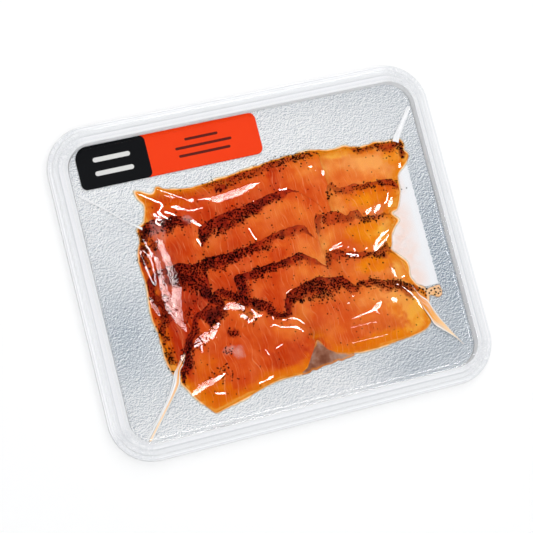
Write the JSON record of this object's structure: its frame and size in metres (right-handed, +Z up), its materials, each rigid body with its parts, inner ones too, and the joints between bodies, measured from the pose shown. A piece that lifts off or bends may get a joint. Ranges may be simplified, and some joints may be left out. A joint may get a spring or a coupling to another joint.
{
  "type": "smoked salmon pack",
  "caption": "Sealed clear tray pack of overlapping smoked salmon slices with peppered crusts on a foil-faced board, under a tight clear film with a plain black and orange label.",
  "frame": {"origin": "on the table plane, under the middle of the tray", "axes": "+X along the tray's long side, with the label at the -X end; +Y from the near side to the label's side; +Z up, out of the tray"},
  "size_m": [0.2, 0.169, 0.014],
  "materials": {
    "tray_plastic": "clear moulded plastic, glossy, frosty where it is thick or crumpled",
    "foil_board": "silver foil face with an embossed crackle",
    "liner_sheet": "matte white",
    "salmon": "moist translucent orange flesh with a dark peppered crust along the far edge",
    "film": "clear and glossy, tight over the fish, creased at the corners",
    "label": "satin, one black and one orange field"
  },
  "bodies": {
    "root": {"tray": "tray_plastic", "board": "foil_board", "liner": "liner_sheet", "slice_middle_1": "salmon", "slice_right_1": "salmon", "slice_left_1": "salmon", "slice_middle_2": "salmon", "slice_right_2": "salmon", "slice_left_2": "salmon", "slice_middle_3": "salmon", "slice_right_3": "salmon", "slice_middle_4": "salmon", "slice_right_4": "salmon", "slice_middle_5": "salmon", "slice_right_5": "salmon", "film": "film", "label": "label"}
  },
  "joints": []
}
